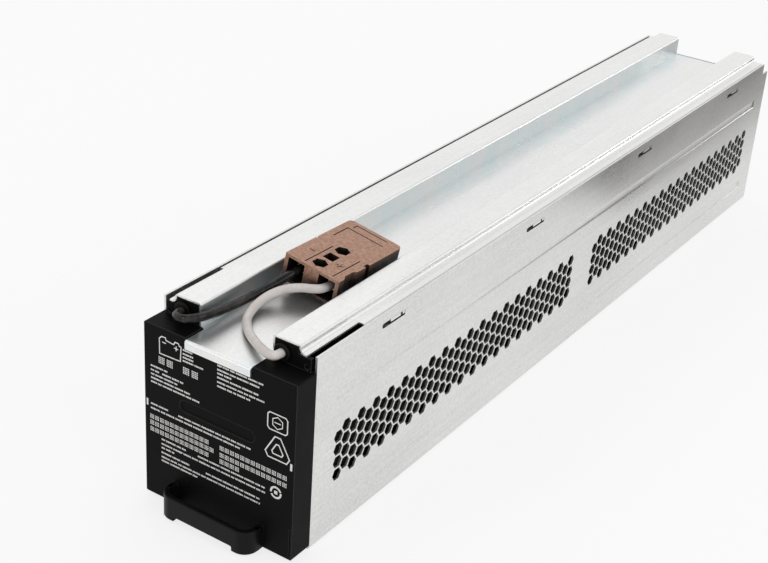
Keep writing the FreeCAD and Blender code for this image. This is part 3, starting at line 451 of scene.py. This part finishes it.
def plain_metal(name, colour, roughness):
    material = new_material(name)
    shader = surface(material)
    shader.inputs["Metallic"].default_value = 1.0
    fine = noise(material, 1200.0, 3.0, 0.6)
    link(material, mix_colours(material, fine, shade(colour, 0.8), colour), shader.inputs["Base Color"])
    link(material, remap(material, fine, roughness - 0.06, roughness + 0.08), shader.inputs["Roughness"])
    return material


def foam(name, colour):
    material = new_material(name)
    shader = surface(material)
    shader.inputs["Roughness"].default_value = 0.9
    cells = add_node(material, "ShaderNodeTexVoronoi", Scale=900.0)
    link(material, place_coordinates(material, (1, 1, 1)), cells.inputs["Vector"])
    tone = remap(material, cells.outputs["Distance"], 0.3, 1.0, 0.0, 0.6)
    link(material, mix_colours(material, tone, shade(colour, 0.4), colour), shader.inputs["Base Color"])
    bump(material, cells.outputs["Distance"], 0.6, 0.6 * MM)
    return material


def print_ink(name, colour):
    """Printed ink that is a little uneven where it meets the grain."""
    material = new_material(name)
    shader = surface(material)
    shader.inputs["Roughness"].default_value = 0.55
    tone = remap(material, noise(material, 2200.0, 3.0, 0.7), 0.0, 1.0, 0.35, 0.6)
    link(material, mix_colours(material, tone, shade(colour, 0.55), colour), shader.inputs["Base Color"])
    return material


# Shapes

def new_piece(name, mesh, material, node=None):
    piece = bpy.data.objects.new(name, mesh)
    bpy.context.collection.objects.link(piece)
    mesh.materials.clear()
    mesh.materials.append(material)
    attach(piece, "root")
    if node:
        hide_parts(node)
    return piece


def mesh_from(name, work):
    mesh = bpy.data.meshes.new(name)
    work.to_mesh(mesh)
    work.free()
    return mesh


def rounded_copy(node, name, material, width, segments=2):
    """A copy of a node whose sharp edges are rounded, which stands for the node."""
    work = bmesh.new()
    work.from_mesh(frame["nodes"][node].data)
    bmesh.ops.remove_doubles(work, verts=work.verts, dist=MERGE_DISTANCE)
    piece = new_piece(name, mesh_from(name, work), material, node)
    bevel = piece.modifiers.new("bevel", "BEVEL")
    bevel.width = width
    bevel.segments = segments
    bevel.limit_method = "ANGLE"
    bevel.angle_limit = ROUNDED_ANGLE
    bevel.use_clamp_overlap = True
    bevel.miter_outer = "MITER_ARC"
    piece.data.polygons.foreach_set("use_smooth", [True] * len(piece.data.polygons))
    piece.data.set_sharp_from_angle(angle=SHARP_ANGLE)
    smooth = piece.modifiers.new("normals", "WEIGHTED_NORMAL")
    smooth.keep_sharp = True
    for modifier in (bevel, smooth):
        with bpy.context.temp_override(object=piece, active_object=piece):
            bpy.ops.object.modifier_apply(modifier=modifier.name)
    return piece


def add_slab(work, corners, rise):
    """A closed thin slab: its outline at the surface and again raised by the given vector."""
    low = [work.verts.new(corner) for corner in corners]
    high = [work.verts.new(Vector(corner) + rise) for corner in corners]
    work.faces.new(high)
    work.faces.new(low[::-1])
    for number in range(len(corners)):
        after = (number + 1) % len(corners)
        work.faces.new((low[number], low[after], high[after], high[number]))


def add_loop(work, points, width, place, rise):
    """A closed band that follows a polygon, with mitred corners; place puts a flat point in space."""
    rings = []
    for side in (width / 2, -width / 2):
        ring = []
        for number, point in enumerate(points):
            before = (point - points[number - 1]).normalized()
            after = (points[(number + 1) % len(points)] - point).normalized()
            outward = Vector((before.y + after.y, -before.x - after.x)).normalized()
            reach = side / max(MITRE_LIMIT, outward.dot(Vector((after.y, -after.x))))
            ring.append(place(point + outward * reach))
        rings.append(ring)
    low = [[work.verts.new(corner) for corner in ring] for ring in rings]
    high = [[work.verts.new(corner + rise) for corner in ring] for ring in rings]
    for number in range(len(points)):
        after = (number + 1) % len(points)
        for first, second in ((high[0], high[1]), (high[1], low[1]), (low[1], low[0]), (low[0], high[0])):
            work.faces.new((first[number], first[after], second[after], second[number]))


def bar(left, right, height, thickness):
    """A level bar's outline, from its ends and the height of its middle."""
    low, high = height - thickness / 2, height + thickness / 2
    return [(left, low), (right, low), (right, high), (left, high)]


def cross(x, z, arm, thickness):
    """A plus sign's outline."""
    t = thickness / 2
    corners = [(t, t), (t, arm), (-t, arm), (-t, t), (-arm, t), (-arm, -t), (-t, -t), (-t, -arm), (t, -arm),
               (t, -t), (arm, -t), (arm, t)]
    return [(x + across, z + up) for across, up in corners]


def turned(x, z, radius, count, turn=0.0):
    """The corners of a regular polygon, or of a circle when there are many."""
    steps = [math.radians(turn + 360 * number / count) for number in range(count)]
    return [(x + radius * math.cos(step), z + radius * math.sin(step)) for step in steps]


def face_print(name, slabs, loops=()):
    """Ink on the bezel's face: slabs are outlines, loops are outlines with a line width."""
    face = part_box("front_bezel")[0].y
    rise = Vector((0, -PRINT_RISE * MM, 0))

    def place(point):
        return Vector((point[0] * MM, face + PRINT_SINK * MM, point[1] * MM))

    work = bmesh.new()
    for corners in slabs:
        add_slab(work, [place(corner) for corner in corners], rise)
    for points, width in loops:
        add_loop(work, [Vector(point) for point in points], width, place, rise)
    bmesh.ops.recalc_face_normals(work, faces=work.faces)
    new_piece(name, mesh_from(name, work), INK)


def fine_rows():
    """Rows of short dashes, in groups, that stand for lines of small print."""
    chance = random.Random(PRINT_SEED)
    slabs = []
    for left, right, height in FINE_ROWS:
        x = left
        dashes_left = chance.randint(*GROUP_DASHES)
        while x < right - DASH_LENGTHS[0]:
            end = min(x + chance.uniform(*DASH_LENGTHS), right)
            unevenness = chance.uniform(-DASH_UNEVENNESS, DASH_UNEVENNESS)
            slabs.append(bar(x, end, height, DASH_HEIGHT + unevenness))
            x = end + DASH_GAP
            dashes_left -= 1
            if not dashes_left:
                x += GROUP_GAP
                dashes_left = chance.randint(*GROUP_DASHES)
    return slabs


def dotted_tiles(places, size, dots):
    """Square tiles of dots that stand for larger print; places are left edges and middle heights."""
    slabs = []
    pitch = size / dots
    dot = pitch * DOT_SHARE
    for left, height in places:
        for column in range(dots):
            for row in range(dots):
                x = left + (column + 0.5) * pitch
                z = height + (row + 0.5 - dots / 2) * pitch
                slabs.append(bar(x - dot / 2, x + dot / 2, z, dot))
    return slabs


def row_places(rows, pitch):
    """Places along each row, where the last may stick out a little."""
    return [(left + number * pitch, height) for left, right, height in rows
            for number in range(int((right - left) / pitch + ROW_OVERHANG))]


def arc_slab(x, z, inner, outer, start, end, count=12):
    """Part of a ring, between two angles in degrees."""
    steps = [math.radians(start + (end - start) * number / count) for number in range(count + 1)]
    return ([(x + outer * math.cos(step), z + outer * math.sin(step)) for step in steps]
            + [(x + inner * math.cos(step), z + inner * math.sin(step)) for step in reversed(steps)])


def icon_shapes():
    """Plain symbols: a battery, a rounded square, a three-sided band and a broken ring."""
    slabs = [bar(*BATTERY_MINUS, THIN_LINE), cross(*BATTERY_PLUS, BATTERY_PLUS_ARM, THIN_LINE),
             bar(*HEXAGON_BAR, THIN_LINE)]
    slabs += [arc_slab(*RING_CENTRE, *RING_RADII, *ends) for ends in RING_ARCS]
    x, z = RING_CENTRE
    slabs.append(bar(x - RING_CORE / 2, x + RING_CORE / 2, z, RING_CORE))
    hexagon = turned(*HEXAGON_CENTRE, HEXAGON_RADIUS, 6, 30.0)
    loops = [(BATTERY_ICON, BATTERY_LINE), (ROUNDED_SQUARE, ICON_LINE), (hexagon, HEXAGON_LINE)]
    loops += [(blunt_triangle(scale), BAND_LINE) for scale in BAND_SCALES]
    return slabs, loops


def blunt_triangle(scale):
    """The outline of a triangle with cut tips, at the band's place."""
    corners = []
    for number in range(3):
        angle = math.radians(90 + 120 * number)
        tip = Vector((math.cos(angle), math.sin(angle))) * BAND_RADIUS * scale
        along = Vector((-math.sin(angle), math.cos(angle))) * BAND_TIP * scale
        corners += [tuple(Vector(BAND_CENTRE) + tip - along), tuple(Vector(BAND_CENTRE) + tip + along)]
    return corners


def connector_place(x, y, z):
    """A point given in millimetres in the connector's own frame."""
    turn = Euler([math.radians(angle) for angle in CONNECTOR_TURN], "XYZ").to_matrix()
    return turn @ Vector((x * MM, y * MM, z * MM)) + Vector(CONNECTOR_PLACE) * MM


def connector_marks():
    """The raised plus and minus beside the key holes."""
    rise = connector_place(0, 0, MARK_RISE) - connector_place(0, 0, 0)
    minus = bar(*MINUS_ENDS, MINUS_ROW, MARK_STROKE)
    plus = cross(*PLUS_CENTRE, PLUS_ARM, MARK_STROKE)
    work = bmesh.new()
    for corners in (minus, plus):
        add_slab(work, [connector_place(x, y, CONNECTOR_HEIGHT - MARK_SINK) for x, y in corners], rise)
    bmesh.ops.recalc_face_normals(work, faces=work.faces)
    new_piece("connector_marks", mesh_from("connector_marks", work), SHELL)


# Light and stage

def make_world():
    """White low down and greyer overhead; where it is seen directly, it is a little brighter."""
    world = bpy.data.worlds.new("studio")
    bpy.context.scene.world = world
    world.use_nodes = True
    coordinates = add_node(world, "ShaderNodeTexCoord")
    split = add_node(world, "ShaderNodeSeparateXYZ")
    link(world, coordinates.outputs["Generated"], split.inputs["Vector"])
    sky = add_node(world, "ShaderNodeValToRGB")
    link(world, split.outputs["Z"], sky.inputs["Fac"])
    for stop, (height, colour) in zip(sky.color_ramp.elements, SKY):
        stop.position = height
        stop.color = (*colour, 1.0)
    light = world.node_tree.nodes["Background"]
    light.inputs["Strength"].default_value = SKY_LIGHT
    seen = add_node(world, "ShaderNodeBackground", Strength=1.0)
    for background in (light, seen):
        link(world, sky.outputs["Color"], background.inputs["Color"])
    mix = add_node(world, "ShaderNodeMixShader")
    link(world, seen_directly(world), mix.inputs["Fac"])
    link(world, light.outputs["Background"], mix.inputs[1])
    link(world, seen.outputs["Background"], mix.inputs[2])
    link(world, mix.outputs["Shader"], world.node_tree.nodes["World Output"].inputs["Surface"])


def area_light(name, place, target, width, power):
    data = bpy.data.lights.new(name, "AREA")
    data.shape = "DISK"
    data.size = width
    data.energy = power
    lamp = bpy.data.objects.new(name, data)
    bpy.context.collection.objects.link(lamp)
    lamp.location = place
    lamp.rotation_euler = (Vector(target) - Vector(place)).to_track_quat("-Z", "Y").to_euler()


def make_floor():
    """A pale floor that camera and reflections see nearly white, with the part's shadow on it."""
    work = bmesh.new()
    bmesh.ops.create_grid(work, x_segments=1, y_segments=1, size=FLOOR_HALF)
    floor = bpy.data.objects.new("floor", mesh_from("floor", work))
    bpy.context.collection.objects.link(floor)
    material = new_material("floor_white")
    shader = surface(material)
    shader.inputs["Base Color"].default_value = (*FLOOR_COLOUR, 1.0)
    shader.inputs["Roughness"].default_value = 0.8
    shader.inputs["Specular IOR Level"].default_value = 0.1
    glow = add_node(material, "ShaderNodeEmission", Strength=1.0)
    mix = add_node(material, "ShaderNodeMixShader")
    link(material, combine(material, "MULTIPLY", seen_directly(material), FLOOR_GLOW), mix.inputs["Fac"])
    link(material, shader.outputs["BSDF"], mix.inputs[1])
    link(material, glow.outputs["Emission"], mix.inputs[2])
    link(material, mix.outputs["Shader"], material.node_tree.nodes["Material Output"].inputs["Surface"])
    floor.data.materials.append(material)


def make_dark_card():
    """A dark card on the floor behind the right side, which only reflections show."""
    work = bmesh.new()
    work.faces.new([work.verts.new(corner) for corner in CARD_CORNERS])
    card = bpy.data.objects.new("dark_card", mesh_from("dark_card", work))
    bpy.context.collection.objects.link(card)
    material = new_material("card_grey")
    surface(material).inputs["Base Color"].default_value = (*CARD_COLOUR, 1.0)
    surface(material).inputs["Roughness"].default_value = 0.9
    card.data.materials.append(material)
    card.visible_camera = False
    card.visible_diffuse = False
    card.visible_shadow = False


make_camera()
black_lead = lead_curve("black_lead", BLACK_ROUTE, "negative_lead")
grey_lead = lead_curve("grey_lead", GREY_ROUTE, "positive_lead")

STEEL = galvanised_steel("galvanised_steel", (0.82, 0.82, 0.805), (0.60, 0.598, 0.585))
# The bluish colour is the painted reflection along the valley's folds.
COVER_STEEL = galvanised_steel("cover_steel", (0.90, 0.892, 0.88), (0.73, 0.735, 0.73),
                               reflection_colour=(0.73, 0.795, 0.81))
# The edge colours are painted highlights on sharp edges, patchy like rubbed wear.
BLACK = moulded_plastic("black_moulding", (0.0045, 0.0042, 0.0042), 0.5, 0.05, scuffs=0.02,
                        edge_sheen_and_wear=(0.075, 0.07, 0.07))
HANDLE = moulded_plastic("handle_moulding", (0.0055, 0.0045, 0.0042), 0.42, 0.12, scuffs=0.03,
                         edge_sheen_and_wear=(0.03, 0.027, 0.025))
RUBBER = moulded_plastic("black_rubber", (0.004, 0.004, 0.004), 0.5, 0.15)
# The connector's colour for recesses is painted shade in them and on its flank beside the rail.
SHELL = moulded_plastic("connector_shell", (0.43, 0.24, 0.165), 0.5, 0.3, grain=1500.0,
                        grain_depth=0.08 * MM, grain_strength=0.5, scuffs=0.25, mottle=620.0,
                        edge_sheen_and_wear=(0.50, 0.33, 0.26), recess_shade=(0.010, 0.006, 0.005))
CASE = moulded_plastic("battery_case", (0.0015, 0.0015, 0.0018), 0.6, 0.03, scuffs=0.02)
# The black lead's pale patches are a painted sheen that stands for glints.
BLACK_JACKET = insulation("black_insulation", (0.003, 0.0028, 0.0028), (0.055, 0.050, 0.046), 0.14, 0.25)
GREY_JACKET = insulation("grey_insulation", (0.63, 0.575, 0.54), (0.73, 0.69, 0.66), 0.42)
RED_JACKET = insulation("jumper_insulation", (0.35, 0.02, 0.02), (0.4, 0.04, 0.04), 0.4)
BOOTS = moulded_plastic("boot_vinyl", (0.02, 0.02, 0.02), 0.5, 0.3)
TIN = plain_metal("terminal_tin", (0.78, 0.76, 0.72), 0.35)
SILVER = plain_metal("contact_silver", (0.85, 0.84, 0.82), 0.28)
SPRING = plain_metal("spring_steel", (0.6, 0.6, 0.62), 0.25)
FOAM = foam("foam", (0.05, 0.05, 0.055))
INK = print_ink("white_ink", (0.92, 0.90, 0.89))

black_lead.data.materials.append(BLACK_JACKET)
grey_lead.data.materials.append(GREY_JACKET)

rounded_copy("tray", "steel_tray", STEEL, SHEET_EDGE)
rounded_copy("top_cover", "steel_cover", COVER_STEEL, SHEET_EDGE)
rounded_copy("front_bezel", "bezel", BLACK, BEZEL_EDGE)
rounded_copy("pull_handle", "handle", HANDLE, HANDLE_EDGE, segments=3)
rounded_copy("left_grommet", "left_ring", RUBBER, RING_EDGE, segments=3)
rounded_copy("right_grommet", "right_ring", RUBBER, RING_EDGE, segments=3)
connector = rounded_copy("connector_housing", "connector", SHELL, SHELL_EDGE)

face_print("fine_print", fine_rows())
face_print("tile_print", dotted_tiles(row_places(TILE_ROWS, TILE_PITCH), TILE_SIZE, TILE_DOTS)
           + dotted_tiles(TILE_PLACES, LARGE_TILE_SIZE, LARGE_TILE_DOTS))
face_print("icon_print", *icon_shapes())
connector_marks()

NODE_MATERIALS = {
    "galvanised_steel": STEEL, "battery_case": CASE, "terminal_tin": TIN, "boot_vinyl": BOOTS,
    "jumper_insulation": RED_JACKET, "black_insulation": BLACK_JACKET, "grey_insulation": GREY_JACKET,
    "foam": FOAM, "contact_silver": SILVER, "spring_steel": SPRING, "black_moulding": BLACK,
    "handle_moulding": HANDLE, "black_rubber": RUBBER, "connector_shell": SHELL,
}
for part in frame["record"]["subparts"]:
    mesh = frame["nodes"][part["node"]].data
    mesh.materials.clear()
    mesh.materials.append(NODE_MATERIALS[part["material_slot"]])

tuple(metres(BLACK_ROUTE)[0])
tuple(metres(GREY_ROUTE)[0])

make_world()
make_floor()
make_dark_card()
for lamp in LAMPS:
    area_light(*lamp)

bpy.context.scene.view_settings.view_transform = "Standard"
